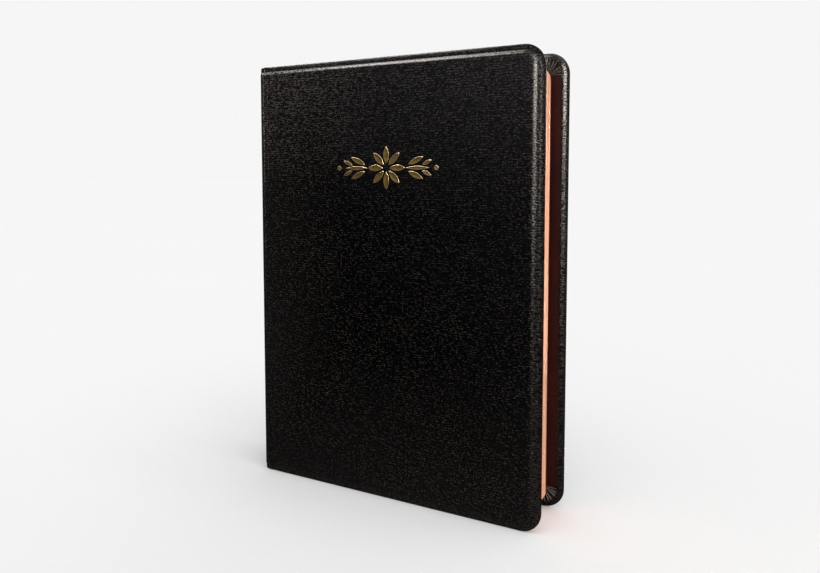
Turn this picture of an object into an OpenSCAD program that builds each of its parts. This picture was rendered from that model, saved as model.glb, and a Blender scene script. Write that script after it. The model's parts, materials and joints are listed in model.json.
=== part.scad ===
// Limp-bound prayer book, closed and standing on its tail edges.
// Frame: origin at the middle of the footprint on the ground, +X from the spine to the
// fore-edge, -Y out of the front cover, +Z from tail to head. Millimetres.

/* [Covers] */
// Width of the closed book, spine to fore-edge
cover_w = 140; // [120:1:150]
// Height of the covers, tail to head
cover_h = 190; // [160:1:220]
// Thickness of the closed book, front face to rear face
book_t = 29.5; // [28:0.5:36]
// Radius of the covers' fore-edge corners
corner_r = 9; // [4:0.5:14]
// Thickness of the leather
leather_t = 0.8; // [0.6:0.1:1]
// Thickness of the card stiffener inside each cover
board_t = 0.9; // [0.6:0.1:1.2]
// Width of the lowered rim round each cover
rim_w = 2; // [1:0.5:4]
// Depth of the lowered rim
rim_step = 0.3; // [0.1:0.05:0.5]
// Leather turned in along the fore-edge
turn_in_fore = 3; // [2:0.5:10]
// Leather turned in at the head and the tail
turn_in_ends = 8.5; // [5:0.5:15]

/* [Spine] */
// Radius of the spine's shoulders
shoulder_r = 3.5; // [2.5:0.5:4]
// Radius of the spine's gently rounded back
spine_back_r = 100; // [90:5:200]
// Thickness of the spine's card stiffener
spine_card_t = 0.6; // [0.4:0.1:0.8]
// Distance from the spine's face to the crease that each cover folds on
hinge_inset = 4; // [4:0.5:6]

/* [Page block] */
// Distance that the covers stand past the pages at the fore-edge
fore_square = 7.5; // [4:0.5:12]
// Distance from the ends of the covers to the ends of the pages, before they sag
end_square = 4; // [4:0.5:6]
// Distance that the pages hang below the middle of the covers
page_sag = 2; // [0:0.1:2.2]
// Radius of the pages' fore-edge corners
page_corner_r = 5; // [2:0.5:8]
// Thickness of an endpaper
endpaper_t = 0.4; // [0.3:0.05:0.5]
// Thickness of each bundle of turning leaves
leaves_t = 1.1; // [0.8:0.1:1.2]

/* [Ornament] */
// Middle of the gold ornament, from the spine's face
ornament_x = 70; // [60:1:90]
// Middle of the gold ornament, from the tail
ornament_z = 143.5; // [60:0.5:150]
// Width of the gold ornament
ornament_w = 50; // [30:1:56]
// Thickness of the stamped gold leaf
foil_t = 0.12; // [0.08:0.02:0.2]

/* [Hidden] */
// Sewn sections that stay upright in the middle; each is a node of its own
section_n = 8;
$fn = 64;
tiny = 0.01;

// Planes across the book
spine_x = -cover_w / 2;
fore_x = cover_w / 2;
face_y = -book_t / 2;
cover_t = 2 * leather_t + board_t;
inner_y = face_y + cover_t;
hinge_x = spine_x + hinge_inset;

// The fold between spine and cover: leather strip and clearance beside it
spine_wrap_x = hinge_x - 0.6;
joint_strip_x = hinge_x + 0.9;
cover_x = hinge_x + 1.2;
joint_sink = 0.3;
board_inset = 1.2;
lining_t = 0.5;

// The back of the page block, layer by layer from the spine's face
spine_card_y = -face_y - shoulder_r;
spine_turn_in_h = 10;
liner_t = 0.2;
mull_x = spine_x + 3.1;
mull_t = 0.2;
tape_t = 0.34;
layer_gap = 0.02;
page_back_x = mull_x + mull_t + tape_t + 3 * layer_gap;
page_fore_x = fore_x - fore_square;
page_h = cover_h - 2 * end_square;
page_z0 = end_square - page_sag;
page_z1 = page_z0 + page_h;

// Turning leaves: all fold on one line, and each bundle starts a little past it
fold_x = page_back_x + 4.3;
fold_gap = 0.3;
leaf_relief = 1.6;
endpaper_relief = 0.6;
leaf_gap = 0.15;
leaf_bundles = 4;
endpaper_y = inner_y + leaf_gap;
leaves_y0 = endpaper_y + endpaper_t + leaf_gap;
leaf_pitch = leaves_t + leaf_gap;
block_y = leaves_y0 + leaf_bundles * leaf_pitch;
section_pitch = -2 * block_y / section_n;
section_gap = 0.03;

// Sewing and headbands
tape_w = 12;
tape_z = [0.22, 0.5, 0.78];
thread_r = 0.15;
stitch_z = [0.05, 0.13, 0.31, 0.41, 0.59, 0.69, 0.87, 0.95];
headband_r = 0.9;
headband_x = page_back_x + headband_r;

// Leaf outline with a square spine side and round fore-edge corners, in the X-Z plane
module leaf_outline(x0, x1, z0, z1, r) {
    translate([x0, z0]) square([x1 - x0 - r, z1 - z0]);
    translate([x0, z0 + r]) square([x1 - x0, z1 - z0 - 2 * r]);
    for (z = [z0 + r, z1 - r]) translate([x1 - r, z]) circle(r);
}

// The same outline as a plate between two Y planes
module plate(x0, x1, z0, z1, r, y0, y1) {
    translate([0, y1, 0]) rotate([90, 0, 0])
        linear_extrude(y1 - y0) leaf_outline(x0, x1, z0, z1, r);
}

// A plain box between two corners
module box(low, high) {
    translate(low) cube(high - low);
}

module rear() {
    mirror([0, 1, 0]) children();
}

// ---- covers ----

module cover_plate(inset, y0, y1) {
    plate(cover_x, fore_x - inset, inset, cover_h - inset, corner_r - inset, y0, y1);
}

module board_plate(y0, y1) {
    plate(cover_x + board_inset, fore_x - board_inset, board_inset, cover_h - board_inset,
        corner_r - board_inset, y0, y1);
}

// The opening that the turned-in leather leaves for the lining
module lining_plate(x0, y0, y1) {
    plate(x0, fore_x - turn_in_fore, turn_in_ends, cover_h - turn_in_ends, 1.5, y0, y1);
}

module cover_leather() {
    board_y = face_y + leather_t;
    difference() {
        union() {
            cover_plate(0, face_y + rim_step, inner_y);
            cover_plate(rim_w, face_y, face_y + rim_step);
        }
        board_plate(board_y, board_y + board_t);
        lining_plate(cover_x - 1, board_y + board_t - tiny, inner_y + 1);
    }
}

module cover_board() {
    board_plate(face_y + leather_t, face_y + leather_t + board_t);
}

module cover_lining() {
    y0 = face_y + leather_t + board_t;
    lining_plate(cover_x + board_inset, y0, y0 + lining_t);
}

// Pointed leaf lying along X: where two discs cross
module petal(length, width, depth) {
    r = (length * length + width * width) / (4 * width);
    intersection() {
        translate([0, r - width / 2, 0]) cylinder(h = depth, r = r);
        translate([0, width / 2 - r, 0]) cylinder(h = depth, r = r);
    }
}

// Rosette between two sprays of leaves and dots, symmetric both ways
module ornament(depth) {
    petal_l = 0.15 * ornament_w;
    for (a = [0 : 45 : 315])
        rotate([0, 0, a]) translate([petal_l * 0.72, 0, 0]) petal(petal_l, petal_l * 0.36, depth);
    for (side = [-1, 1]) {
        translate([side * ornament_w * 0.3, 0, 0]) petal(ornament_w * 0.24, 1.6, depth);
        for (up = [-1, 1]) {
            translate([side * ornament_w * 0.285, up * 3, 0]) rotate([0, 0, side * up * 24])
                petal(ornament_w * 0.16, 2.2, depth);
            translate([side * ornament_w * 0.39, up * 2.2, 0]) rotate([0, 0, side * up * 24])
                petal(ornament_w * 0.1, 1.6, depth);
        }
        translate([side * (ornament_w / 2 - 1), 0, 0]) cylinder(h = depth, r = 1);
    }
}

module placed_ornament(depth) {
    translate([spine_x + ornament_x, face_y + depth, ornament_z]) rotate([90, 0, 0])
        ornament(depth);
}

module front_cover_leather() {
    color("#171312") difference() {
        cover_leather();
        translate([0, -foil_t, 0]) placed_ornament(2 * foil_t);
    }
}
module front_cover_board() { color("#8a7a63") cover_board(); }
module front_cover_lining() { color("#3a1214") cover_lining(); }
module front_cover_ornament() { color("#b08a3c") placed_ornament(foil_t); }
module rear_cover_leather() { color("#171312") rear() cover_leather(); }
module rear_cover_board() { color("#8a7a63") rear() cover_board(); }
module rear_cover_lining() { color("#3a1214") rear() cover_lining(); }

// ---- spine ----

// Book shape seen from above, moved in by a distance: rounded shoulders and back
module spine_form(inset, z0, z1) {
    y = -face_y - inset;
    r = shoulder_r - inset;
    intersection() {
        union() {
            box([spine_x + inset + r, -y, z0], [hinge_x + shoulder_r, y, z1]);
            box([spine_x + inset, -y + r, z0], [hinge_x + shoulder_r, y - r, z1]);
            for (side = [-1, 1])
                translate([spine_x + inset + r, side * (y - r), z0]) cylinder(h = z1 - z0, r = r);
        }
        translate([spine_x + spine_back_r, 0, z0])
            cylinder(h = z1 - z0, r = spine_back_r - inset, $fn = 256);
    }
}

// One layer of the spine between two insets, out to a half width and as far as the joint
module spine_layer(inset, thickness, half_y, z0, z1) {
    intersection() {
        difference() {
            spine_form(inset, z0, z1);
            spine_form(inset + thickness, z0 - 1, z1 + 1);
        }
        box([spine_x - 1, -half_y, z0], [spine_wrap_x, half_y, z1]);
    }
}

// Outer wrap, folded over the card and turned in at the head and the tail
module spine_leather() {
    card_top = cover_h - leather_t;
    turn_top = cover_h - spine_turn_in_h;
    color("#171312") {
        spine_layer(0, leather_t, -face_y, 0, cover_h);
        for (z = [[0, leather_t], [card_top, cover_h]])
            spine_layer(leather_t - tiny, spine_card_t + 2 * tiny, spine_card_y, z[0], z[1]);
        for (z = [[0, spine_turn_in_h], [turn_top, cover_h]])
            spine_layer(leather_t + spine_card_t, leather_t, spine_card_y, z[0], z[1]);
    }
}

module spine_stiffener() {
    color("#8a7a63")
        spine_layer(leather_t, spine_card_t, spine_card_y, leather_t, cover_h - leather_t);
}

module spine_paper_liner() {
    z0 = spine_turn_in_h + leaf_gap;
    color("#cbb892")
        spine_layer(leather_t + spine_card_t, liner_t, spine_card_y - 1, z0, cover_h - z0);
}

// Thin leather in the fold beside the spine, sunk a little below the covers
module joint_leather() {
    box([spine_wrap_x, face_y + joint_sink, 0], [joint_strip_x, face_y + leather_t, cover_h]);
}
module front_joint_leather() { color("#0e0b0a") joint_leather(); }
module rear_joint_leather() { color("#0e0b0a") rear() joint_leather(); }

module spine_mull() {
    half_y = -leaves_y0;
    color("#d8d2c0")
        box([mull_x, -half_y, page_z0 + 6], [mull_x + mull_t, half_y, page_z1 - 6]);
}

module sewing_tapes() {
    half_y = -leaves_y0;
    x0 = mull_x + mull_t + layer_gap;
    color("#e4dfd0") for (share = tape_z) {
        z = page_z0 + share * page_h;
        box([x0, -half_y, z - tape_w / 2], [x0 + tape_t, half_y, z + tape_w / 2]);
    }
}

module sewing_thread() {
    length = -2 * leaves_y0;
    x = mull_x + mull_t + layer_gap + tape_t / 2;
    color("#efe9da") for (share = stitch_z)
        translate([x, length / 2, page_z0 + share * page_h]) rotate([90, 0, 0])
            cylinder(h = length, r = thread_r);
}

// Rolled band that finishes one end of the pages' back
module headband(z) {
    length = -2 * leaves_y0;
    color("#5a1c1c") translate([headband_x, length / 2, z]) rotate([90, 0, 0])
        cylinder(h = length, r = headband_r);
}
module head_headband() { headband(page_z1 + headband_r); }
module tail_headband() { headband(page_z0 - headband_r); }

// ---- pages ----

module page_plate(x0, y0, thickness) {
    plate(x0, page_fore_x, page_z0, page_z1, page_corner_r, y0, y0 + thickness);
}

module flyleaf() { page_plate(fold_x + endpaper_relief, endpaper_y, endpaper_t); }
module front_flyleaf() { color("#3a1214") flyleaf(); }
module rear_flyleaf() { color("#3a1214") rear() flyleaf(); }

// Bundle number n of the turning leaves, counted from the cover inwards
module leaves(n) {
    color("#ef8f68") page_plate(fold_x + leaf_relief, leaves_y0 + (n - 1) * leaf_pitch, leaves_t);
}
module front_leaves_1() { leaves(1); }
module front_leaves_2() { leaves(2); }
module front_leaves_3() { leaves(3); }
module front_leaves_4() { leaves(4); }
module rear_leaves_1() { rear() leaves(1); }
module rear_leaves_2() { rear() leaves(2); }
module rear_leaves_3() { rear() leaves(3); }
module rear_leaves_4() { rear() leaves(4); }

// The glued gutter edges of the turning leaves and of the endpaper
module gutter_folds() {
    box([page_back_x, endpaper_y, page_z0], [fold_x - fold_gap, endpaper_y + endpaper_t, page_z1]);
    for (n = [0 : leaf_bundles - 1]) {
        y = leaves_y0 + n * leaf_pitch;
        box([page_back_x, y, page_z0], [fold_x - fold_gap, y + leaves_t, page_z1]);
    }
}
module front_gutter_folds() { color("#f0e2c8") gutter_folds(); }
module rear_gutter_folds() { color("#f0e2c8") rear() gutter_folds(); }

// Sewn section number n, with its rounded back fold
module section(n) {
    y0 = block_y + (n - 1) * section_pitch;
    thickness = section_pitch - section_gap;
    r = thickness / 2;
    color("#ef8f68") {
        page_plate(page_back_x + r, y0, thickness);
        translate([page_back_x + r, y0 + r, page_z0]) cylinder(h = page_h, r = r);
    }
}
module section_1() { section(1); }
module section_2() { section(2); }
module section_3() { section(3); }
module section_4() { section(4); }
module section_5() { section(5); }
module section_6() { section(6); }
module section_7() { section(7); }
module section_8() { section(8); }

front_cover_leather();
front_cover_board();
front_cover_lining();
front_cover_ornament();
rear_cover_leather();
rear_cover_board();
rear_cover_lining();
spine_leather();
front_joint_leather();
rear_joint_leather();
spine_stiffener();
spine_paper_liner();
spine_mull();
sewing_tapes();
sewing_thread();
head_headband();
tail_headband();
front_flyleaf();
rear_flyleaf();
front_leaves_1();
front_leaves_2();
front_leaves_3();
front_leaves_4();
rear_leaves_1();
rear_leaves_2();
rear_leaves_3();
rear_leaves_4();
front_gutter_folds();
rear_gutter_folds();
section_1();
section_2();
section_3();
section_4();
section_5();
section_6();
section_7();
section_8();
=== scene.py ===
"""Prayer book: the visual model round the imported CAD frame. Metres, row frame."""

import json
import math

import bmesh
import bpy
import numpy as np
from mathutils import Matrix, Vector


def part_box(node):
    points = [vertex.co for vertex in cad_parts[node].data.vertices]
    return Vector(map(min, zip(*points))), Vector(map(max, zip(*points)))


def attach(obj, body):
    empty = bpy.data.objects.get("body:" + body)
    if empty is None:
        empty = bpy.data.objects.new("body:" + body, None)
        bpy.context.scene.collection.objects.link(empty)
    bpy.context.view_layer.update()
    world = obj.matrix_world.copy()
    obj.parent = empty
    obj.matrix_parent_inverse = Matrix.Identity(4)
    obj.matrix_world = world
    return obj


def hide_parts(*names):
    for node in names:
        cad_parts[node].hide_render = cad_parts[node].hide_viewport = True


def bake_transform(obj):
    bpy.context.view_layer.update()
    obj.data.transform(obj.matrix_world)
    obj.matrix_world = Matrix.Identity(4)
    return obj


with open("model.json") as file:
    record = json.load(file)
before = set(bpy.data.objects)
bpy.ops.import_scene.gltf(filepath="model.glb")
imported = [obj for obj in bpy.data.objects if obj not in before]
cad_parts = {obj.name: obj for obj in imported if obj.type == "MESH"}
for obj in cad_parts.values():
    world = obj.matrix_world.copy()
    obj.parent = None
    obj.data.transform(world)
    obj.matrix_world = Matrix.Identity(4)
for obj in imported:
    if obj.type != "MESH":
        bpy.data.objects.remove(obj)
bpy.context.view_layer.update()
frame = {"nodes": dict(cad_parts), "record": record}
rng = np.random.default_rng(11)

MM = 0.001
TAU = 2 * math.pi

# ---------------------------------------------------------------- sizes from the frame

COVER_LOW, COVER_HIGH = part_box("front_cover_leather")
LINING_LOW, LINING_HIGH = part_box("front_cover_lining")
FLYLEAF_LOW, FLYLEAF_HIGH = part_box("front_flyleaf")
SPINE_LOW, SPINE_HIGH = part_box("spine_leather")
GUTTER_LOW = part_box("front_gutter_folds")[0]
ORNAMENT_LOW, ORNAMENT_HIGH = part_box("front_cover_ornament")

COVER_X0, FORE_X = COVER_LOW[0], COVER_HIGH[0]
COVER_H = COVER_HIGH[2]
FACE_Y = COVER_LOW[1]
COVER_T = COVER_HIGH[1] - COVER_LOW[1]
PAGE_Z0, PAGE_Z1 = FLYLEAF_LOW[2], FLYLEAF_HIGH[2]
PAGE_BACK_X, PAGE_FORE_X = GUTTER_LOW[0], FLYLEAF_HIGH[0]

JOINT = {j["name"]: j for j in frame["record"]["behaviour"]["joints"]}
FOLD_X = JOINT["front_leaves_1_fold"]["pos_m"][0]

END_TURN_IN = COVER_H - LINING_HIGH[2]
FORE_TURN_IN = FORE_X - LINING_HIGH[0]

# Sizes that the frame's boxes don't carry
CORNER_R = 9 * MM
PAGE_CORNER_R = 5 * MM
SHOULDER_R = 3.5 * MM
SPINE_BACK_R = 100 * MM
LEATHER_T = 0.8 * MM
SPINE_CARD_T = 0.6 * MM
SPINE_TURN_IN = 10 * MM
FACE_SINK = 0.05 * MM
CREASE_DEPTH = 0.28 * MM
CREASE_RUN = 1.6 * MM
LEATHER_GRAIN = 0.052 * MM
RIM_STEP = 0.8 * MM
WELD = 1e-7


# ---------------------------------------------------------------- small helpers

def clamp(v, low=0.0, high=1.0):
    return max(low, min(high, v))


def smooth(v):
    v = clamp(v)
    return v * v * (3 - 2 * v)


def lerp(a, b, t):
    return a + (b - a) * t


def make_mesh(name, points, faces, materials, face_materials=None, merge=0.0, edge=None):
    """A mesh object with smooth faces. edge is a value per point, kept as the attribute edge.
    merge is the distance within which points are joined; the faces then turn outward."""
    mesh = bpy.data.meshes.new(name)
    mesh.from_pydata([tuple(p) for p in points], [], faces)
    for m in materials:
        mesh.materials.append(m)
    if face_materials is not None:
        mesh.polygons.foreach_set("material_index", face_materials)
    if edge is not None:
        layer = mesh.attributes.new("edge", "FLOAT", "POINT")
        layer.data.foreach_set("value", np.array(edge, np.float32))
    mesh.polygons.foreach_set("use_smooth", [True] * len(mesh.polygons))
    mesh.validate()
    obj = bpy.data.objects.new(name, mesh)
    bpy.context.scene.collection.objects.link(obj)
    if merge:
        work = bmesh.new()
        work.from_mesh(mesh)
        bmesh.ops.remove_doubles(work, verts=work.verts, dist=merge)
        bmesh.ops.dissolve_degenerate(work, edges=work.edges, dist=merge)
        bmesh.ops.recalc_face_normals(work, faces=work.faces)
        if work.calc_volume(signed=True) < 0:
            bmesh.ops.reverse_faces(work, faces=work.faces)
        work.to_mesh(mesh)
        work.free()
    mesh.update()
    return obj


def mirrored(points):
    return [(x, -y, z) for x, y, z in points]


def grid_faces(rows, columns, first=0, flip=False):
    """Quads of a rows by columns lattice of points numbered row by row."""
    faces = []
    for i in range(rows - 1):
        for j in range(columns - 1):
            a = first + i * columns + j
            quad = (a, a + 1, a + columns + 1, a + columns)
            faces.append(quad[::-1] if flip else quad)
    return faces


def sheet_faces(rows, columns, flip=False):
    """Faces of a closed sheet: two lattices of points, one after the other, joined at the rim."""
    count = rows * columns
    faces = grid_faces(rows, columns, 0, flip) + grid_faces(rows, columns, count, not flip)
    loop = list(range(columns)) + [i * columns + columns - 1 for i in range(1, rows)]
    loop += [(rows - 1) * columns + j for j in range(columns - 2, -1, -1)]
    loop += [i * columns for i in range(rows - 2, 0, -1)]
    for a, b in zip(loop, loop[1:] + loop[:1]):
        faces.append((a, b, b + count, a + count) if flip else (b, a, a + count, b + count))
    return faces


def spread(low, high, step):
    n = max(1, int(round((high - low) / step)))
    return [lerp(low, high, i / n) for i in range(n + 1)]


# ---------------------------------------------------------------- materials

class Nodes:
    """A material's node tree, with its Principled shader."""

    def __init__(self, name):
        self.material = bpy.data.materials.new(name)
        self.material.use_nodes = True
        self.tree = self.material.node_tree
        self.shader = self.tree.nodes["Principled BSDF"]

    def add(self, kind, inputs=None, **settings):
        n = self.tree.nodes.new("ShaderNode" + kind)
        for key, value in settings.items():
            setattr(n, key, value)
        for key, value in (inputs or {}).items():
            self.put(n.inputs[key], value)
        return n

    def put(self, socket, value):
        if isinstance(value, bpy.types.NodeSocket):
            self.tree.links.new(value, socket)
        else:
            socket.default_value = value

    def math(self, operation, a, b=0.0):
        return self.add("Math", {0: a, 1: b}, operation=operation).outputs[0]

    def coords(self, scale=(1000, 1000, 1000)):
        """Object coordinates, in millimetres unless scale says otherwise."""
        return self.stretched(self.add("TexCoord").outputs["Object"], scale)

    def stretched(self, vector, scale):
        return self.add("Mapping", {"Vector": vector, "Scale": scale}).outputs["Vector"]

    def noise(self, vector, scale, detail=3.0, roughness=0.5):
        n = self.add("TexNoise", {"Vector": vector, "Scale": scale, "Detail": detail,
                                  "Roughness": roughness})
        return n.outputs["Fac"]

    def wave(self, vector, axis, period, distortion, detail_scale=1.0):
        """Bands of the given period, in the vector's units."""
        n = self.add("TexWave", {"Vector": vector, "Scale": math.pi / 10 / period,
                                 "Distortion": distortion, "Detail": 2.0,
                                 "Detail Scale": detail_scale}, bands_direction=axis)
        return n.outputs["Fac"]

    def ramp(self, value, low, high, out_low=0.0, out_high=1.0):
        n = self.add("MapRange", {"Value": value, "From Min": low, "From Max": high,
                                  "To Min": out_low, "To Max": out_high})
        return n.outputs["Result"]

    def mix(self, share, a, b):
        n = self.add("Mix", data_type="RGBA")
        self.put(n.inputs[0], share)
        self.put(n.inputs[6], a)
        self.put(n.inputs[7], b)
        return n.outputs[2]

    def edge(self):
        return self.add("Attribute", attribute_name="edge").outputs["Fac"]

    def bump(self, height, distance, strength=1.0):
        n = self.add("Bump", {"Height": height, "Distance": distance, "Strength": strength})
        self.put(self.shader.inputs["Normal"], n.outputs["Normal"])

    def finish(self, colour, roughness, **fixed):
        self.put(self.shader.inputs["Base Color"], colour)
        self.put(self.shader.inputs["Roughness"], roughness)
        for key, value in fixed.items():
            self.shader.inputs[key.replace("_", " ")].default_value = value
        return self.material


def rgb(r, g, b):
    return (r, g, b, 1.0)


# Where a painted sheen lightens the leather at the head, most towards the spine: height and place
# across, in millimetres
HEAD_SHEEN_Z = (135, 186)
HEAD_SHEEN_X = (-70, -5)


def leather_material():
    """Black leather pressed with short raised dashes that run across the cover. The mesh
    attribute edge is 1 on polished edges and 2 on the crests of the corner pleats. The polished
    edges are lighter with rubbed wear and a painted sheen, the crests carry a painted highlight,
    and painted light also lightens the ends of the cover and puts glints on the dashes."""
    half_w, half_h = FORE_X / MM, COVER_H / MM / 2
    n = Nodes("black_leather")
    at = n.coords()
    dashes = n.noise(n.stretched(at, (0.85, 0.85, 1.9)), 1.0, 3.0, 0.62)
    grit = n.noise(n.stretched(at, (1.7, 1.7, 2.6)), 1.0, 2.0, 0.5)
    rows = n.wave(at, "Z", 1.0, 2.0, 0.5)
    edge = n.edge()
    polish = n.ramp(edge, 0.0, 1.0)
    raised = n.math("MULTIPLY", n.ramp(dashes, 0.45, 0.63), n.ramp(rows, 0.0, 1.0, 0.4, 1.0))
    height = n.math("ADD", raised, n.math("MULTIPLY", grit, 0.3))
    height = n.math("MULTIPLY", height, n.ramp(edge, 0.0, 1.0, 1.0, 0.75))
    # Painted sheen: the leather is lighter towards the spine, the head and the tail
    place = n.add("SeparateXYZ", {0: at})
    sideways = n.math("MULTIPLY", place.outputs[0], -1 / half_w)
    from_middle = n.math("ABSOLUTE", n.math("SUBTRACT", place.outputs[2], half_h))
    upright = n.math("MULTIPLY", from_middle, 1 / half_h)
    sheen_to_ends = n.ramp(n.math("MAXIMUM", sideways, upright), 0.3, 0.9)
    head_sheen = n.math("MULTIPLY", n.ramp(place.outputs[2], *HEAD_SHEEN_Z, 0.0, 0.4),
                         n.ramp(place.outputs[0], *HEAD_SHEEN_X, 1.8, 0.15))
    # Painted glints: light specks on the tops of the dashes
    painted_glint = n.math("MULTIPLY", n.ramp(raised, 0.25, 0.7), n.ramp(grit, 0.46, 0.58))
    patch = n.noise(at, 0.03, 2.0)
    glint_amount = n.math("ADD", n.ramp(patch, 0.3, 0.7, 0.13, 0.26), head_sheen)
    # The polished edges are lighter: rubbed wear and a painted sheen
    rubbed_wear_and_sheen = n.math("MULTIPLY", polish, n.ramp(dashes, 0.42, 0.62, 0.05, 0.6))
    # Painted sheen lifts the base colour towards the spine, the head and the tail
    body = n.mix(n.math("MULTIPLY", sheen_to_ends, n.ramp(grit, 0.3, 0.7, 0.6, 1.0)),
                 rgb(0.0007, 0.0006, 0.0006), rgb(0.0070, 0.0059, 0.0056))
    # Painted sheen on the raised dashes at the head
    body = n.mix(n.math("MULTIPLY", head_sheen, n.ramp(raised, 0.05, 0.6)), body,
                 rgb(0.064, 0.052, 0.045))
    # Painted glints, denser in patches and at the head
    body = n.mix(n.math("MULTIPLY", glint_amount, painted_glint), body, rgb(0.152, 0.122, 0.107))
    body = n.mix(rubbed_wear_and_sheen, body, rgb(0.030, 0.0255, 0.0225))
    # Painted highlight on the crests of the corner pleats
    body = n.mix(n.ramp(edge, 1.0, 2.0), body, rgb(0.36, 0.32, 0.30))
    rough = n.math("ADD", n.ramp(grit, 0.3, 0.7, 0.19, 0.28), n.math("MULTIPLY", polish, -0.06))
    n.bump(height, LEATHER_GRAIN)
    return n.finish(body, rough, Specular_IOR_Level=0.3)


def maroon_material():
    n = Nodes("maroon_endpaper")
    at = n.coords()
    fibre = n.noise(n.stretched(at, (1.0, 1.0, 0.35)), 3.0, 4.0, 0.6)
    cloud = n.noise(at, 0.06, 3.0)
    colour = n.mix(n.ramp(cloud, 0.3, 0.7), rgb(0.024, 0.0030, 0.0024), rgb(0.040, 0.0055, 0.0042))
    colour = n.mix(n.ramp(fibre, 0.5, 0.75), colour, rgb(0.046, 0.013, 0.011))
    n.bump(fibre, 0.03 * MM, 0.6)
    return n.finish(colour, n.ramp(fibre, 0.3, 0.7, 0.5, 0.66), Specular_IOR_Level=0.05)


def page_edge_material():
    """Salmon dye on the cut edges of thin leaves, in bands across the stack that are partly the dye's
    own unevenness and partly painted shade and light.
    """
    n = Nodes("page_edge")
    at = n.coords()
    lines = n.noise(n.stretched(at, (0.06, 9.0, 0.06)), 1.0, 3.0, 0.7)
    layer_dye_and_shade = n.noise(n.stretched(at, (0.01, 0.55, 0.01)), 1.0, 1.0, 0.4)
    blotch = n.noise(at, 0.12, 3.0)
    # Bands across the stack: uneven dye with painted shade and light
    colour = n.mix(n.ramp(layer_dye_and_shade, 0.38, 0.62), rgb(0.97, 0.36, 0.17), rgb(0.99, 0.62, 0.42))
    colour = n.mix(n.ramp(lines, 0.3, 0.7, 0.0, 0.5), colour, rgb(0.97, 0.50, 0.30))
    colour = n.mix(n.ramp(blotch, 0.35, 0.75, 0.0, 0.4), colour, rgb(0.97, 0.47, 0.28))
    n.bump(lines, 0.06 * MM, 0.7)
    return n.finish(colour, n.ramp(lines, 0.3, 0.7, 0.55, 0.75), Specular_IOR_Level=0.35)


def page_face_material():
    n = Nodes("page_paper")
    at = n.coords()
    fibre = n.noise(at, 1.6, 5.0, 0.65)
    cloud = n.noise(at, 0.035, 3.0)
    colour = n.mix(n.ramp(cloud, 0.3, 0.7), rgb(0.80, 0.74, 0.62), rgb(0.86, 0.81, 0.70))
    colour = n.mix(n.ramp(fibre, 0.55, 0.8), colour, rgb(0.72, 0.65, 0.53))
    n.bump(fibre, 0.015 * MM, 0.5)
    return n.finish(colour, n.ramp(fibre, 0.3, 0.7, 0.7, 0.85), Specular_IOR_Level=0.3)


def gold_material(name, dark, bright, rough):
    n = Nodes(name)
    at = n.coords()
    wear = n.noise(at, 1.4, 4.0, 0.65)
    pits = n.noise(at, 5.0, 2.0, 0.6)
    colour = n.mix(n.ramp(wear, 0.35, 0.68), dark, bright)
    n.bump(pits, 0.05 * MM, 0.6)
    return n.finish(colour, n.ramp(pits, 0.3, 0.7, rough, rough + 0.16), Metallic=1.0)


def weave_material(name, dark, light, pitch, depth):
    """Plain weave of round threads, in millimetres, with painted shade in the hollows between them."""
    n = Nodes(name)
    at = n.coords()
    split = n.add("SeparateXYZ", {0: at})
    across = n.math("ADD", split.outputs[0], split.outputs[1])
    flat = n.add("CombineXYZ", {0: across, 1: 0.0, 2: split.outputs[2]}).outputs[0]
    warp = n.wave(flat, "X", pitch, 0.6)
    weft = n.wave(flat, "Z", pitch, 0.6)
    height = n.math("MAXIMUM", warp, weft)
    fuzz = n.noise(at, 4.0, 3.0, 0.6)
    # Painted shade: darker in the hollows between the threads
    colour = n.mix(n.math("MULTIPLY", height, n.ramp(fuzz, 0.2, 0.8, 0.6, 1.0)), dark, light)
    n.bump(height, depth, 0.8)
    return n.finish(colour, n.ramp(fuzz, 0.3, 0.7, 0.75, 0.9), Specular_IOR_Level=0.25)


def board_material(name, dark, light):
    """Pressed grey-brown card with flecks."""
    n = Nodes(name)
    at = n.coords()
    pulp = n.noise(at, 1.1, 5.0, 0.7)
    fleck = n.noise(n.stretched(at, (0.5, 2.0, 1.0)), 2.4)
    colour = n.mix(n.ramp(pulp, 0.3, 0.7), dark, light)
    colour = n.mix(n.ramp(fleck, 0.62, 0.74), colour, dark)
    n.bump(pulp, 0.04 * MM, 0.6)
    return n.finish(colour, n.ramp(pulp, 0.3, 0.7, 0.8, 0.92), Specular_IOR_Level=0.2)


def headband_material():
    """Silk wound in narrow bands of maroon and cream."""
    n = Nodes("headband_cloth")
    at = n.coords()
    bands = n.wave(at, "Y", 1.6, 0.25)
    threads = n.wave(at, "Y", 0.2, 0.6)
    colour = n.mix(n.ramp(bands, 0.45, 0.55), rgb(0.16, 0.018, 0.016), rgb(0.70, 0.60, 0.42))
    colour = n.mix(n.math("MULTIPLY", threads, 0.25), colour, rgb(0.05, 0.01, 0.01))
    n.bump(threads, 0.05 * MM, 0.8)
    return n.finish(colour, n.ramp(threads, 0.0, 1.0, 0.45, 0.6), Sheen_Weight=0.3)


def floor_material():
    n = Nodes("studio_floor")
    cloud = n.noise(n.coords((4, 4, 4)), 1.0, 2.0)
    colour = n.mix(cloud, rgb(0.90, 0.90, 0.90), rgb(0.915, 0.915, 0.915))
    return n.finish(colour, n.ramp(cloud, 0.0, 1.0, 0.9, 0.95), Specular_IOR_Level=0.0)


LEATHER = leather_material()
MAROON = maroon_material()
PAGE_EDGE = page_edge_material()
PAGE_FACE = page_face_material()
GOLD = gold_material("gold_leaf", rgb(0.13, 0.085, 0.022), rgb(0.30, 0.205, 0.060), 0.40)
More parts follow.
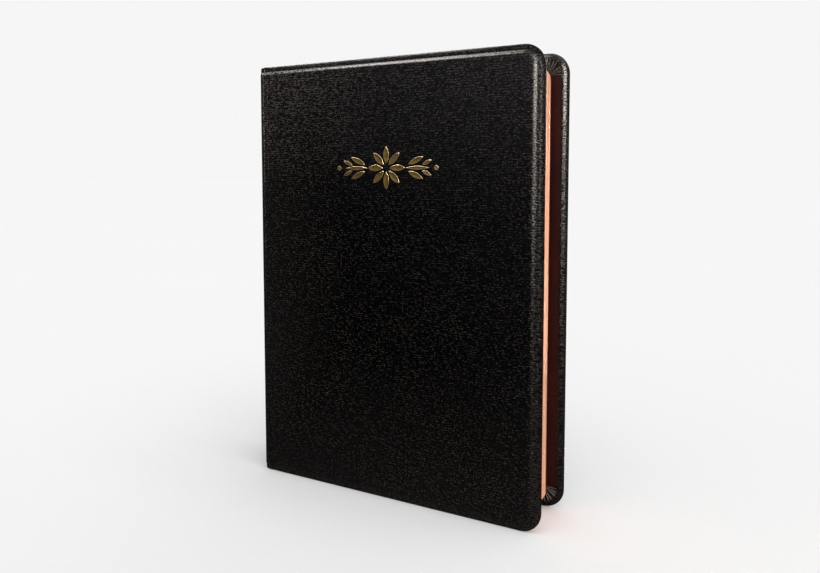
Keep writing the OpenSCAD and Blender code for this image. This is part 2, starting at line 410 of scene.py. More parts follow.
# A lit copy of the gold: a painted highlight on the stamps' raised edges
GOLD_RIM_HIGHLIGHT = gold_material("gold_leaf_rim_highlight", rgb(0.72, 0.52, 0.26), rgb(0.98, 0.80, 0.50), 0.26)
LINEN = weave_material("linen", rgb(0.38, 0.34, 0.26), rgb(0.74, 0.70, 0.60), 0.55, 0.08 * MM)
TAPE = weave_material("cotton_tape", rgb(0.45, 0.42, 0.35), rgb(0.84, 0.81, 0.73), 0.35, 0.06 * MM)
THREAD = weave_material("linen_thread", rgb(0.50, 0.46, 0.36), rgb(0.88, 0.85, 0.76), 0.2, 0.04 * MM)
CARD = board_material("card", rgb(0.30, 0.24, 0.17), rgb(0.46, 0.38, 0.28))
KRAFT = board_material("kraft_paper", rgb(0.36, 0.26, 0.15), rgb(0.50, 0.38, 0.23))
HEADBAND = headband_material()


# ---------------------------------------------------------------- covers

PLEATS = 7
PLEAT_DEPTH = 0.6 * MM
PLEAT_WIDTH = 0.17
# Outer face near a cover's edge, in millimetres: inset, depth at the ends, depth at the fore-edge
FACE_PROFILE = [
    (9.0, 0.00, 0.00), (8.0, 0.00, 0.00), (7.0, 0.00, 0.00), (6.2, 0.00, 0.01), (5.5, 0.00, 0.02),
    (5.1, 0.00, 0.05), (4.8, 0.00, 0.11), (4.5, 0.00, 0.20), (4.2, 0.00, 0.30), (3.9, 0.01, 0.40),
    (3.6, 0.05, 0.50), (3.35, 0.15, 0.56), (3.1, 0.30, 0.60), (2.9, 0.42, 0.63),
    (2.7, 0.54, 0.66), (2.55, 0.63, 0.685), (2.4, 0.71, 0.71), (2.25, 0.77, 0.74),
    (2.12, 0.79, 0.77), (2.0, 0.79, 0.80), (1.85, 0.77, 0.835), (1.65, 0.75, 0.88),
    (1.4, 0.75, 0.92), (1.15, 0.77, 0.95), (0.9, 0.80, 0.99), (0.7, 0.84, 1.04),
    (0.5, 0.89, 1.09), (0.33, 0.95, 1.14), (0.2, 1.01, 1.19), (0.1, 1.07, 1.24),
    (0.04, 1.12, 1.27), (0.0, 1.18, 1.30)]
# Turned-in side near the edge, in millimetres: inset, distance below the inner plane
TURN_PROFILE = [(0.02, 1.14), (0.1, 1.06), (0.3, 0.90), (0.6, 0.70), (0.9, 0.53), (1.15, 0.40),
                (1.4, 0.325), (1.7, 0.23), (2.0, 0.135), (2.3, 0.04), (2.5, 0.01)]
TURN_STEPS = 12
CORNER_STEPS = 140
PATH_STEP = 2 * MM
FORE_BOW = 0.2 * MM
BOW_RUN = 45 * MM
FACE_SWELL = 0.05 * MM


def cover_path():
    """Stations round a cover's three free edges: base point, outward direction, share of
    the fore-edge's shape, depth of the turn-in, angle in the corner, kind."""
    inner_x, low, high = FORE_X - CORNER_R, CORNER_R, COVER_H - CORNER_R
    xs = [COVER_X0 + CREASE_RUN * t for t in (0, 0.12, 0.28, 0.45, 0.65, 0.85)]
    xs += spread(COVER_X0 + CREASE_RUN * 1.1, inner_x, PATH_STEP)
    zs = spread(low, high, PATH_STEP)
    arc = [math.pi / 2 * i / CORNER_STEPS for i in range(1, CORNER_STEPS + 1)]
    path = [((x, low), (0, -1), 0.0, END_TURN_IN, None, "tail") for x in xs]
    for a in arc:
        path.append(((inner_x, low), (math.sin(a), -math.cos(a)), smooth(a / (math.pi / 2)),
                     CORNER_R, a, "corner"))
    path.append(((inner_x, low), (1, 0), 1.0, CORNER_R, None, "wall"))
    path += [((inner_x, z), (1, 0), 1.0, FORE_TURN_IN, None, "fore") for z in zs]
    path.append(((inner_x, high), (1, 0), 1.0, CORNER_R, None, "wall"))
    for a in reversed(arc):
        path.append(((inner_x, high), (math.sin(a), math.cos(a)), smooth(a / (math.pi / 2)),
                     CORNER_R, a, "corner"))
    path += [((x, high), (0, 1), 0.0, END_TURN_IN, None, "head") for x in reversed(xs)]
    return path, xs, zs


def face_depth(profile, fore, x, z):
    """How far the outer face lies behind the cover's front plane."""
    inset, at_end, at_fore = profile
    crease = CREASE_DEPTH * (1 - smooth((x - COVER_X0) / CREASE_RUN))
    swell = FACE_SWELL * (1 + math.sin(31 * x + 1.3) * math.sin(23 * z + 0.4))
    swell *= smooth(inset / 9)
    bow = FORE_BOW * smooth((x - (FORE_X - BOW_RUN)) / BOW_RUN) * smooth(inset)
    return FACE_SINK + lerp(at_end, at_fore, fore) * MM + crease + swell + bow


def pleat(angle, d):
    """How much of a fold there is at this place in a corner, and how far it dips beside it."""
    if angle is None:
        return 0.0, 0.0
    share = angle / (math.pi / 2)
    turn = PLEATS * share + 0.35 * math.sin(7 * share) + 0.2 * math.sin(17 * share)
    beside = abs(turn - round(turn))
    fold = math.exp(-(beside / PLEAT_WIDTH) ** 2)
    reach = smooth((CORNER_R - d) / (2.2 * MM)) * smooth((d - 2.0 * MM) / (1.3 * MM))
    return fold * reach, PLEAT_DEPTH * (1 - fold) * reach


def cover_leather():
    """Closed skin of one cover: outer face, round edge, turned-in strip and the bed inside."""
    path, xs, zs = cover_path()
    points, edges = [], []
    bed_depth = COVER_T - LEATHER_T
    for (px, pz), (nx, nz), fore, turn, angle, kind in path:
        def place(d, depth, edge):
            points.append((px + nx * (CORNER_R - d), FACE_Y + depth, pz + nz * (CORNER_R - d)))
            edges.append(edge)

        for profile in FACE_PROFILE:
            d = profile[0] * MM
            x, z = px + nx * (CORNER_R - d), pz + nz * (CORNER_R - d)
            # Polished rim: its edge value makes the leather smoother, and lighter with rubbed wear and
            # a painted sheen
            wear = 1 - smooth((profile[0] - lerp(3.2, 3.8, fore)) / lerp(1.0, 1.4, fore))
            place(d, face_depth(profile, fore, x, z), wear)
        for inset, fall in TURN_PROFILE:
            place(inset * MM, COVER_T - fall * MM, 0.9)
        start = TURN_PROFILE[-1][0] * MM
        for k in range(1, TURN_STEPS + 1):
            d = lerp(start, turn, k / TURN_STEPS)
            # The crest share goes into the edge attribute, where it paints a highlight on the pleats'
            # crests
            crest_highlight, dip = pleat(angle, d)
            if kind == "wall" and d > FORE_TURN_IN:
                dip = LEATHER_T
            place(d, COVER_T - dip, 2 * crest_highlight if kind == "corner" else 0.45)
        place(turn, bed_depth, 0.0)
    columns = len(FACE_PROFILE) + len(TURN_PROFILE) + TURN_STEPS + 1
    faces = grid_faces(len(path), columns)
    # Outer face inside the ring, and the bed under the lining
    first = len(points)
    for z in zs:
        for x in xs:
            points.append((x, FACE_Y + face_depth(FACE_PROFILE[0], 0.0, x, z), z))
            edges.append(0.0)
    faces += grid_faces(len(zs), len(xs), first, flip=True)
    faces.append(tuple(i * columns + columns - 1 for i in range(len(path))))
    # Cap at the spine side
    tail_profile = list(range(columns))
    head_profile = [(len(path) - 1) * columns + j for j in range(columns)]
    left = [first + i * len(xs) for i in range(1, len(zs) - 1)]
    faces.append(tuple(left + head_profile + tail_profile[::-1]))
    return points, faces, edges


def cover_pieces(side, turn):
    points, faces, edges = cover_leather()
    if turn:
        points = mirrored(points)
    name = f"{side}_cover_skin"
    skin = make_mesh(name, points, faces, [LEATHER], merge=WELD, edge=edges)
    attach(skin, f"{side}_cover")
    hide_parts(f"{side}_cover_leather")
    board_piece(side, turn)
    lining = lining_piece(side, turn)
    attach(lining, f"{side}_cover")
    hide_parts(f"{side}_cover_lining")


def rounded_outline(x0, x1, z0, z1, spine_r, fore_r, steps=8):
    """Points round a panel, with its own corner radius at the spine and at the fore-edge."""
    corners = [(x1 - fore_r, z0 + fore_r, fore_r, -90), (x1 - fore_r, z1 - fore_r, fore_r, 0),
               (x0 + spine_r, z1 - spine_r, spine_r, 90), (x0 + spine_r, z0 + spine_r, spine_r, 180)]
    out = []
    for cx, cz, radius, first in corners:
        for i in range(steps + 1):
            a = math.radians(first + 90 * i / steps)
            out.append((cx + radius * math.cos(a), cz + radius * math.sin(a)))
    return out


def stacked(loops):
    """Closed skin through loops of equal length, capped at both ends."""
    n = len(loops[0])
    points = [p for loop in loops for p in loop]
    faces = []
    for k in range(len(loops) - 1):
        for i in range(n):
            a, b = k * n + i, k * n + (i + 1) % n
            faces.append((a, b, b + n, a + n))
    faces.append(tuple(range(n))[::-1])
    faces.append(tuple((len(loops) - 1) * n + i for i in range(n)))
    return points, faces


# The board's rim, in millimetres: inset, depth behind the cover's front plane
PARED_PROFILE = [(9.0, 0.9), (5.5, 1.0), (4.4, 1.2), (3.6, 1.42), (3.0, 1.52), (2.4, 1.56),
                 (2.4, 1.68)]


def board_piece(side, turn):
    """Card inside a cover, pared thin towards its edges so that the leather can round off."""
    loops = []
    for inset, depth in PARED_PROFILE:
        d = inset * MM
        outline = rounded_outline(COVER_X0 + 0.3 * MM, FORE_X - d, d, COVER_H - d,
                                  0.4 * MM, max(CORNER_R - d, 0.6 * MM))
        loops.append([(x, FACE_Y + depth * MM, z) for x, z in outline])
    points, faces = stacked(loops)
    if turn:
        points = mirrored(points)
    board = make_mesh(f"{side}_board_card", points, faces, [CARD], merge=WELD)
    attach(board, f"{side}_cover")
    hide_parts(f"{side}_cover_board")


def lining_piece(side, turn):
    """Endpaper pasted inside a cover: a thin sheet with soft, slightly lifted edges."""
    gap = 0.12 * MM
    x0, x1 = COVER_X0 + 0.2 * MM, LINING_HIGH[0] - gap
    z0, z1 = LINING_LOW[2] + gap, LINING_HIGH[2] - gap
    low_y, top_y = LINING_LOW[1] + 0.05 * MM, LINING_HIGH[1]
    xs = [x0] + spread(x0 + 0.6 * MM, x1 - 0.6 * MM, 3 * MM) + [x1 - 0.2 * MM, x1]
    zs = [z0, z0 + 0.2 * MM] + spread(z0 + 0.6 * MM, z1 - 0.6 * MM, 3 * MM) + [z1 - 0.2 * MM, z1]
    points = []
    for z in zs:
        for x in xs:
            rim = min(x1 - x, z - z0, z1 - z)
            lift = 0.5 + 0.5 * math.sin(90 * x + 2) * math.sin(70 * z)
            y = top_y - 0.22 * MM * (1 - smooth(rim / (0.6 * MM))) - 0.06 * MM * lift
            points.append((x, y, z))
    points += [(x, low_y, z) for z in zs for x in xs]
    faces = sheet_faces(len(zs), len(xs))
    if turn:
        points = mirrored(points)
    return make_mesh(f"{side}_lining_sheet", points, faces, [MAROON], merge=WELD)


# ---------------------------------------------------------------- spine and joints

def end_profile():
    """Distances from the tail, and depths there, of leather with the covers' lowered rim."""
    return [(inset * MM, at_end * MM) for inset, at_end, _ in reversed(FACE_PROFILE)]


# Polish at the head and the tail: smoother leather, lighter with rubbed wear and a painted sheen
def end_wear_and_sheen(z):
    return 1 - smooth((min(z, COVER_H - z) - 3.2 * MM) / MM)


def spine_profile():
    """Outer outline of the spine seen from above, from the front joint round to the rear."""
    half = -FACE_Y
    wrap_x = SPINE_HIGH[0]
    centre_x = SPINE_LOW[0] + SPINE_BACK_R
    line = []
    shoulder = (SPINE_LOW[0] + SHOULDER_R, half - SHOULDER_R)
    arc = [math.pi / 2 * (1 - i / 14) for i in range(15)]
    for a in arc:
        x = shoulder[0] - SHOULDER_R * math.cos(a)
        y = shoulder[1] + SHOULDER_R * math.sin(a)
        back = centre_x - math.sqrt(SPINE_BACK_R ** 2 - y * y)
        if x < wrap_x - 0.05 * MM:
            line.append((max(x, back), -y))
    around = len(line)
    y0 = -line[-1][1]
    for i in range(1, 24):
        y = lerp(-y0, y0, i / 24)
        line.append((centre_x - math.sqrt(SPINE_BACK_R ** 2 - y * y), y))
    line += [(x, -y) for x, y in reversed(line[:around])]
    return [(wrap_x, -half)] + line + [(wrap_x, half)]


def normals_2d(line):
    out = []
    for i in range(len(line)):
        a, b = line[max(i - 1, 0)], line[min(i + 1, len(line) - 1)]
        dx, dy = b[0] - a[0], b[1] - a[1]
        size = math.hypot(dx, dy)
        out.append((dy / size, -dx / size))
    return out


def spine_skin():
    """Leather round the spine, rolled over and turned in at the head and the tail."""
    line = spine_profile()
    inward = normals_2d(line)
    if inward[len(line) // 2][0] < 0:
        inward = [(-x, -y) for x, y in inward]
    turn_depth = SPINE_TURN_IN
    card_y = -FACE_Y - SHOULDER_R
    rings = []
    zs = spread(turn_depth, COVER_H - turn_depth, 6 * MM)
    outer = end_profile() + [(z, 0.0) for z in zs]
    outer += [(COVER_H - z, depth) for z, depth in reversed(end_profile())]
    for z, depth in outer:
        rings.append((z, depth + FACE_SINK, 0))
    for z in (COVER_H - 0.15 * MM, COVER_H - 0.6 * MM, COVER_H - turn_depth):
        rings.append((z, None, 1))
    rings.append((COVER_H - turn_depth, None, 2))
    rings.append((turn_depth, None, 2))
    for z in (turn_depth, 0.6 * MM, 0.15 * MM):
        rings.append((z, None, 1))
    # Layer 0 is the outside, 1 the inside of the turned-in leather, 2 the inside of the single leather
    points, edges = [], []
    for z, offset, layer in rings:
        for (x, y), (nx, ny) in zip(line, inward):
            doubled = 2 * LEATHER_T + (SPINE_CARD_T if abs(y) < card_y else 0.0)
            depth = doubled if layer == 1 else LEATHER_T
            if layer == 0:
                at_side = smooth(2 * abs(ny) - 1)
                step = min(offset, RIM_STEP)
                depth = offset - (1 - at_side) * 0.75 * step
            points.append((x + nx * depth, y + ny * depth, z))
            edges.append(end_wear_and_sheen(z) if layer == 0 else 0.5)
    columns = len(line)
    faces = grid_faces(len(rings), columns)
    last = (len(rings) - 1) * columns
    faces += [(last + j, last + j + 1, j + 1, j) for j in range(columns - 1)]
    for j in (0, columns - 1):
        faces.append(tuple(i * columns + j for i in range(len(rings))))
    skin = make_mesh("spine_skin", points, faces, [LEATHER], merge=WELD, edge=edges)
    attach(skin, "book_block")
    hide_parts("spine_leather")


JOINT_UNDER_SPINE = 0.25 * MM
JOINT_UNDER_COVER = 0.35 * MM
JOINT_BACK = 1.15 * MM


def joint_skin(side, turn):
    """The flexible leather in the groove between the spine and a cover."""
    x0, x1 = SPINE_HIGH[0] - JOINT_UNDER_SPINE, COVER_X0 + JOINT_UNDER_COVER
    xs = spread(x0, x1, 0.16 * MM)
    zs = end_profile() + [(z, 0.0) for z in spread(12 * MM, COVER_H - 12 * MM, 8 * MM)]
    zs += [(COVER_H - z, depth) for z, depth in reversed(end_profile())]
    points, edges = [], []
    for layer in (0, 1):
        for z, s in zs:
            for x in xs:
                t = (x - x0) / (x1 - x0)
                dip = CREASE_DEPTH * math.sin(math.pi * clamp(0.08 + 0.92 * t)) ** 0.7
                dip = max(dip, CREASE_DEPTH * smooth(2 * t - 0.6)) + FACE_SINK + 0.02 * MM
                depth = min(dip + s, JOINT_BACK - 0.05 * MM) if layer == 0 else JOINT_BACK
                points.append((x, FACE_Y + depth, z))
                edges.append(end_wear_and_sheen(z))
    faces = sheet_faces(len(zs), len(xs), flip=True)
    if turn:
        points = mirrored(points)
    skin = make_mesh(f"{side}_joint_skin", points, faces, [LEATHER], merge=WELD, edge=edges)
    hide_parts(f"{side}_joint_leather")
    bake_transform(skin)


# ---------------------------------------------------------------- pages

FOLD_RUN = 9 * MM
NEAR_FOLD = [FOLD_X - 2 * MM, FOLD_X - MM, FOLD_X] + [FOLD_X + FOLD_RUN * i / 12 for i in range(1, 13)]
BUNDLES = 4
SECTIONS = 8
BUNDLE_LEAVES = 9
SECTION_LEAVES = 13
BACK_ROUND = 0.4
LEAF_NOTCH = 0.06 * MM
LEAF_BEVEL = 0.05 * MM
PAGE_CORNER_STEPS = 10


def leaf_stack(x_back, y0, y1, leaves, ruffle, xs_near=(), round_back=False):
    """Leaves lying together: their cut edges are stepped, their outer faces flat."""
    r = PAGE_CORNER_R
    inner_x = PAGE_FORE_X - r
    xs = [x_back] + [x for x in xs_near if x > x_back + 0.1 * MM]
    xs += spread(xs[-1] + 4 * MM, inner_x, 8 * MM)
    arc = [math.pi / 2 * i / PAGE_CORNER_STEPS for i in range(1, PAGE_CORNER_STEPS + 1)]
    zs = spread(PAGE_Z0 + r, PAGE_Z1 - r, 12 * MM)[1:-1]
    path = [((x, PAGE_Z0 + r), (0, -1)) for x in xs]
    path += [((inner_x, PAGE_Z0 + r), (math.sin(a), -math.cos(a))) for a in arc]
    path += [((inner_x, z), (1, 0)) for z in zs]
    path += [((inner_x, PAGE_Z1 - r), (math.sin(a), math.cos(a))) for a in reversed(arc)]
    path += [((x, PAGE_Z1 - r), (0, 1)) for x in reversed(xs)]
    # Profile across the thickness: every leaf has its own reach, with a notch between leaves
    t = (y1 - y0) / leaves
    profile = [(y0, LEAF_BEVEL)]
    for k in range(leaves):
        crown = math.sin(math.pi * (k + 0.5) / leaves)
        short = ruffle * (1 - crown) + rng.uniform(0, 0.05) * MM
        a = y0 + k * t
        profile += [(a + 0.16 * t, short), (a + 0.84 * t, short)]
        if k < leaves - 1:
            profile.append((a + t, short + LEAF_NOTCH))
    profile.append((y1, LEAF_BEVEL))
    wobble = [1 + 0.35 * math.sin(0.9 * i + 7 * y1 / MM) for i in range(len(path))]
    points = []
    for i, ((px, pz), (nx, nz)) in enumerate(path):
        for y, short in profile:
            d = short * wobble[i]
            x, z = px + nx * (r - d), pz + nz * (r - d)
            if round_back and px == x_back:
                across = (2 * y - y0 - y1) / (y1 - y0)
                x += BACK_ROUND * (y1 - y0) * (1 - math.sqrt(max(0, 1 - across ** 2)))
            points.append((x, y, z))
    columns, n = len(profile), len(path)
    faces = grid_faces(n, columns)
    kinds = [0] * len(faces)
    half = len(xs) + len(arc)
    for j, flip in ((0, False), (columns - 1, True)):
        low = [i * columns + j for i in range(half)]
        high = [(n - 1 - i) * columns + j for i in range(half)]
        fore = [i * columns + j for i in range(half, half + len(zs))]
        for i in range(half - 1):
            quad = (low[i], high[i], high[i + 1], low[i + 1])
            if i == half - 2:
                quad = (low[i], high[i], high[i + 1], *reversed(fore), low[i + 1])
            faces.append(quad[::-1] if flip else quad)
            kinds.append(1)
    for j in range(columns - 1):
        faces.append((j, j + 1, (n - 1) * columns + j + 1, (n - 1) * columns + j))
        kinds.append(1)
    return points, faces, kinds


def page_piece(name, node, points, faces, kinds, turn,
               face_material=PAGE_FACE):
    if turn:
        points = mirrored(points)
    piece = make_mesh(name, points, faces, [PAGE_EDGE, face_material], kinds)
    flat_outward(piece)
    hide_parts(node)
    return piece


def flat_outward(piece):
    """Turn every face outward, and shade the leaves' cut edges flat."""
    work = bmesh.new()
    work.from_mesh(piece.data)
    bmesh.ops.recalc_face_normals(work, faces=work.faces)
    work.to_mesh(piece.data)
    work.free()
    for p in piece.data.polygons:
        p.use_smooth = False


def turning_pages(side, turn):
    for i in range(1, BUNDLES + 1):
        node = f"{side}_leaves_{i}"
        low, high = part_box(node)
        y0, y1 = (low[1], high[1]) if not turn else (-high[1], -low[1])
        points, faces, kinds = leaf_stack(PAGE_BACK_X + 0.05 * MM, y0, y1, BUNDLE_LEAVES,
                                          rng.uniform(0.1, 0.3) * MM, NEAR_FOLD)
        piece = page_piece(f"{side}_leaf_bundle_{i}", node, points, faces, kinds, turn)
        if i == 1:
            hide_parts(f"{side}_gutter_folds")
        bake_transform(piece)
    node = f"{side}_flyleaf"
    low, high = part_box(node)
    y0, y1 = (low[1], high[1]) if not turn else (-high[1], -low[1])
    points, faces, kinds = leaf_stack(PAGE_BACK_X + 0.05 * MM, y0 + 0.1 * MM, y1, 1,
                                      0.1 * MM, NEAR_FOLD)
    piece = page_piece(f"{side}_flyleaf_sheet", node, points, faces, kinds, turn,
                       MAROON)
    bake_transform(piece)


def standing_sections():
    for i in range(1, SECTIONS + 1):
        node = f"section_{i}"
        low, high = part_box(node)
        points, faces, kinds = leaf_stack(PAGE_BACK_X, low[1], high[1], SECTION_LEAVES,
                                          rng.uniform(0.1, 0.35) * MM, NEAR_FOLD[:1],
                                          round_back=True)
        piece = page_piece(f"sewn_{node}", node, points, faces, kinds, False)
        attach(piece, "book_block")


# ---------------------------------------------------------------- headbands

HEADBAND_STEPS = 160
HEADBAND_SIDES = 20
HEADBAND_RIDGES = 40
HEADBAND_TAPER = 0.03


def headband_piece(end):
    """A roll wound with silk, lying along the end of the pages' back."""
    low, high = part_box(f"{end}_headband")
    r = (high[2] - low[2]) / 2
    cx, cz = (low[0] + high[0]) / 2, (low[2] + high[2]) / 2
    loops = []
    for i in range(HEADBAND_STEPS + 1):
        t = i / HEADBAND_STEPS
        y = lerp(low[1], high[1], t)
        ridge = 1 - 0.07 * abs(math.sin(math.pi * HEADBAND_RIDGES * t))
        end_round = math.sqrt(max(0.0, 1 - (1 - clamp(min(t, 1 - t) / HEADBAND_TAPER)) ** 2))
        reach = r * ridge * max(end_round, 0.05)
        turns = [TAU * k / HEADBAND_SIDES for k in range(HEADBAND_SIDES)]
        loops.append([(cx + reach * math.cos(a), y, cz + reach * math.sin(a)) for a in turns])
    points, faces = stacked(loops)
    piece = make_mesh(f"{end}_headband_roll", points, faces, [HEADBAND], merge=WELD)
    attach(piece, "book_block")
    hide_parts(f"{end}_headband")


# ---------------------------------------------------------------- ornament

def petal_outline(length, width, inset):
    """Outline of a pointed leaf along X, moved in by inset."""
    w, l = width / 2 - inset, length / 2 - inset * length / width
    r = (l * l + w * w) / (2 * w)
    half = math.asin(min(1.0, l / r))
    top = [(r * math.sin(a), w - r + r * math.cos(a)) for a in np.linspace(-half, half, 17)]
    return top + [(x, -y) for x, y in reversed(top[1:-1])]


def disc_outline(radius, inset):
    """Outline of a round dot, moved in by inset."""
    r = radius - inset
    return [(r * math.cos(a), r * math.sin(a)) for a in np.linspace(0, TAU, 33)[:-1]]


STAMP_FOOT = 0.14 * MM
STAMP_CREST = 0.005 * MM
STAMP_INNER = 0.01 * MM
STAMP_MIDDLE = 0.045 * MM
ROSETTE_PETALS = 8
SPRAY_TILT = math.radians(24)
# Leaves beside a spray's stem: length, width, distance from the ornament's centre, height
# above the stem. Length and distance are shares of the ornament's width
SPRAY_LEAVES = [(0.16, 2.2 * MM, 0.285, 3 * MM), (0.1, 1.6 * MM, 0.39, 2.2 * MM)]


def ornament_piece():
    """Rosette between two sprays of leaves and dots, stamped in gold."""
    centre = ((ORNAMENT_LOW[0] + ORNAMENT_HIGH[0]) / 2, (ORNAMENT_LOW[2] + ORNAMENT_HIGH[2]) / 2)
    w = ORNAMENT_HIGH[0] - ORNAMENT_LOW[0]
    points, faces, kinds = [], [], []

    def stamp(rings, angle, at):
        """Concentric outlines: a raised edge with a painted highlight, then a flat, slightly sunk
        middle.
        """
        c, s = math.cos(angle), math.sin(angle)
        first = len(points)
        for outline, depth in rings:
            for x, z in outline:
                px, pz = at[0] + x * c - z * s, at[1] + x * s + z * c
                points.append((centre[0] + px, FACE_Y + depth, centre[1] + pz))
        n = len(rings[0][0])
        for k in range(len(rings) - 1):
            for i in range(n):
                a, b = first + k * n + i, first + k * n + (i + 1) % n
                faces.append((a + n, b + n, b, a))
                # Kind 1, the lit gold, paints a highlight on the raised edge
                kinds.append(1 if k < 2 else 0)
        faces.append(tuple(first + (len(rings) - 1) * n + i for i in range(n))[::-1])
        faces.append(tuple(first + i for i in range(n)))
        kinds.extend((0, 0))

    def petal(length, width, angle, at):
        rim = min(0.16 * MM, width * 0.16)
        stamp([(petal_outline(length, width, 0), STAMP_FOOT),
               (petal_outline(length, width, rim * 0.35), STAMP_CREST),
               (petal_outline(length, width, rim), STAMP_INNER),
               (petal_outline(length, width, rim * 1.6), STAMP_MIDDLE)], angle, at)

    def dot(radius, at):
        stamp([(disc_outline(radius, 0), STAMP_FOOT),
               (disc_outline(radius, 0.07 * MM), STAMP_CREST),
               (disc_outline(radius, 0.2 * MM), STAMP_INNER),
               (disc_outline(radius, 0.3 * MM), STAMP_MIDDLE)], 0, at)

    long = 0.15 * w
    for k in range(ROSETTE_PETALS):
        a = TAU * k / ROSETTE_PETALS
        petal(long, long * 0.36, a, (long * 0.72 * math.cos(a), long * 0.72 * math.sin(a)))
    for side in (-1, 1):
        petal(w * 0.24, 1.6 * MM, 0, (side * w * 0.3, 0))
        for up in (-1, 1):
            for share, width, along, rise in SPRAY_LEAVES:
                petal(w * share, width, side * up * SPRAY_TILT, (side * w * along, up * rise))
        dot(MM, (side * (w / 2 - MM), 0))
    piece = make_mesh("gold_ornament", points, faces, [GOLD, GOLD_RIM_HIGHLIGHT], kinds)
    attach(piece, "front_cover")
    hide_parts("front_cover_ornament")


# ---------------------------------------------------------------- carried-over CAD nodes

def dress(node, material):
    obj = frame["nodes"][node]
    obj.data.materials.clear()
    obj.data.materials.append(material)


def dress_inner_parts():
    dress("spine_stiffener", CARD)
    dress("spine_paper_liner", KRAFT)
    dress("spine_mull", LINEN)
    dress("sewing_tapes", TAPE)
    dress("sewing_thread", THREAD)


# ---------------------------------------------------------------- studio

CAMERA_PLACE = (0.1713, -0.28915, 0.1404)
CAMERA_YAW = math.radians(30.19)
CAMERA_PITCH = math.radians(4.19)
CAMERA_ROLL = math.radians(-0.03)
CAMERA_LENS = 33.603
CAMERA_SHIFT = -0.0672


def make_camera():
    """Camera at the picture's angle: from the front right, a little above the book's middle."""
    yaw, pitch, roll = CAMERA_YAW, CAMERA_PITCH, CAMERA_ROLL
    forward = Vector((-math.sin(yaw) * math.cos(pitch), math.cos(yaw) * math.cos(pitch),
                      -math.sin(pitch)))
    right = Vector((math.cos(yaw), math.sin(yaw), 0))
    up = right.cross(forward)
    rolled_right = math.cos(roll) * right + math.sin(roll) * up
    rolled_up = math.cos(roll) * up - math.sin(roll) * right
    data = bpy.data.cameras.new("camera")
    data.sensor_width = 36
    data.lens = CAMERA_LENS
    data.shift_y = CAMERA_SHIFT
    data.clip_start = 0.01
    cam = bpy.data.objects.new("camera", data)
    bpy.context.scene.collection.objects.link(cam)
    m = Matrix((rolled_right, rolled_up, -forward)).transposed().to_4x4()
    m.translation = Vector(CAMERA_PLACE)
    cam.matrix_world = m
    bpy.context.scene.camera = cam


WARM = (1.0, 0.91, 0.82)
SOFT_WARM = (1.0, 0.93, 0.85)
COOL = (0.75, 0.85, 1.0)
WHITE = (1, 1, 1)
FLOOR_REACH = 30
FLOOR_DROP = 0.02 * MM
SUN_STRENGTH = 1.615
SUN_WIDTH = math.radians(60)
SUN_TURN = (math.radians(14), math.radians(20), 0)
FILL_SPREAD = math.radians(16)
BACKDROP = rgb(0.92, 0.92, 0.92)
FILL = rgb(0.55, 0.55, 0.55)
DARK = rgb(0.015, 0.015, 0.016)
# Soft boxes: name, place, the point it faces, width and height, power, colour
SOFT_BOXES = [
    ("side_box", (0.312, -0.76, 0.385), (0.07, 0, 0.17), (0.14, 0.34), 8, WARM),
    ("fore_edge_fill", (0.9, 0.03, 0.06), (0.06, 0, 0.11), (0.1, 0.1), 0.07, WHITE),
    ("top_box", (-0.5, -0.25, 1.0), (0, 0, 0.19), (0.7, 0.22), 9, SOFT_WARM),
    ("sky_box", (-0.52, -0.7, 0.76), (0, 0, 0.19), (0.6, 0.15), 1.8, COOL),
    ("back_box", (-0.2, 0.8, 1.2), (0, 0, 0.1), (0.9, 0.6), 18, WHITE),
    ("spine_box", (-0.9, 0.1, 1.0), (0, 0, 0.1), (0.5, 0.6), 7, WHITE),
    ("rear_box", (0.35, 0.85, 0.45), (0, 0, 0.1), (0.4, 0.4), 6, WHITE)]


def gloss_light(name, place, target, size, power, colour):
    """A soft box that shows only as a sheen on glossy surfaces."""
    data = bpy.data.lights.new(name, "AREA")
    data.shape = "RECTANGLE"
    data.size, data.size_y = size
    data.energy = power
    data.color = colour
    light = bpy.data.objects.new(name, data)
    bpy.context.scene.collection.objects.link(light)
    light.location = place
    light.rotation_euler = (Vector(target) - Vector(place)).to_track_quat("-Z", "Y").to_euler()
    light.visible_diffuse = False
    return light


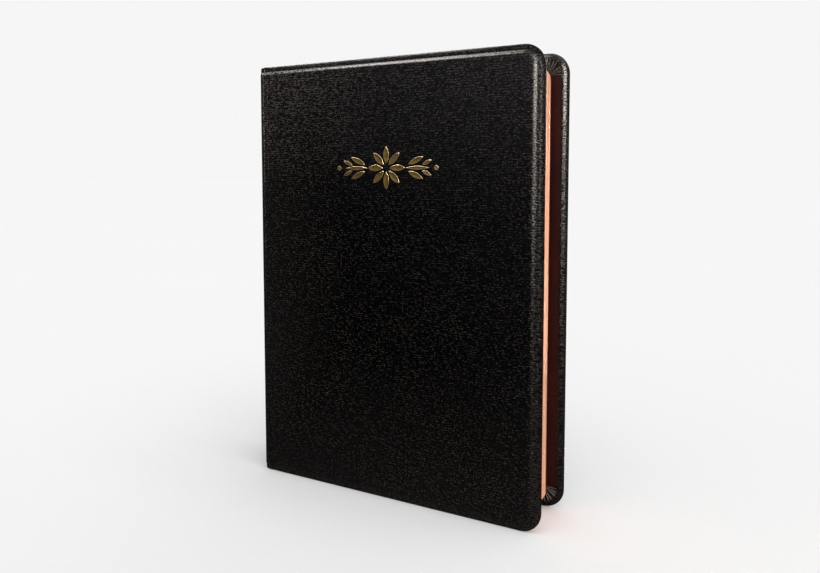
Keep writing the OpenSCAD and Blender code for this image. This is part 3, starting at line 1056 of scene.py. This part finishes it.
def make_studio():
    """Pale floor, a wide soft sun from above, and soft boxes for the sheen on leather and gold.
    The fore-edge fill is the opposite: a narrow beam from the right that lights the page
    edges and leaves no sheen."""
    corners = [(x * FLOOR_REACH, y * FLOOR_REACH, 0) for x, y in ((-1, -1), (1, -1), (1, 1), (-1, 1))]
    floor = make_mesh("studio_floor", corners, [(0, 1, 2, 3)], [floor_material()])
    floor.location.z = -FLOOR_DROP
    floor.visible_glossy = False
    sun = bpy.data.lights.new("overhead", "SUN")
    sun.energy = SUN_STRENGTH
    sun.angle = SUN_WIDTH
    light = bpy.data.objects.new("overhead", sun)
    bpy.context.scene.collection.objects.link(light)
    light.rotation_euler = SUN_TURN
    lights = {name: gloss_light(name, *settings) for name, *settings in SOFT_BOXES}
    fill = lights["fore_edge_fill"]
    fill.data.spread = FILL_SPREAD
    fill.data.cycles.max_bounces = 0
    fill.visible_diffuse = True
    fill.visible_glossy = False
    make_world()


def make_world():
    """The camera sees the backdrop, matte surfaces take the fill, and sheens see a dark room."""
    world = bpy.data.worlds.new("studio")
    bpy.context.scene.world = world
    world.use_nodes = True
    tree = world.node_tree
    backdrop = tree.nodes["Background"]
    fill = tree.nodes.new("ShaderNodeBackground")
    dark = tree.nodes.new("ShaderNodeBackground")
    for node, colour in ((backdrop, BACKDROP), (fill, FILL), (dark, DARK)):
        node.inputs["Color"].default_value = colour
    ray = tree.nodes.new("ShaderNodeLightPath")
    indoors = tree.nodes.new("ShaderNodeMixShader")
    seen = tree.nodes.new("ShaderNodeMixShader")
    tree.links.new(ray.outputs["Is Glossy Ray"], indoors.inputs[0])
    tree.links.new(fill.outputs[0], indoors.inputs[1])
    tree.links.new(dark.outputs[0], indoors.inputs[2])
    tree.links.new(ray.outputs["Is Camera Ray"], seen.inputs[0])
    tree.links.new(indoors.outputs[0], seen.inputs[1])
    tree.links.new(backdrop.outputs[0], seen.inputs[2])
    tree.links.new(seen.outputs[0], tree.nodes["World Output"].inputs[0])
    bpy.context.scene.view_settings.view_transform = "Standard"


# ---------------------------------------------------------------- build

make_camera()
for side_name, is_rear in (("front", False), ("rear", True)):
    cover_pieces(side_name, is_rear)
    joint_skin(side_name, is_rear)
    turning_pages(side_name, is_rear)
spine_skin()
standing_sections()
headband_piece("head")
headband_piece("tail")
ornament_piece()
dress_inner_parts()
make_studio()
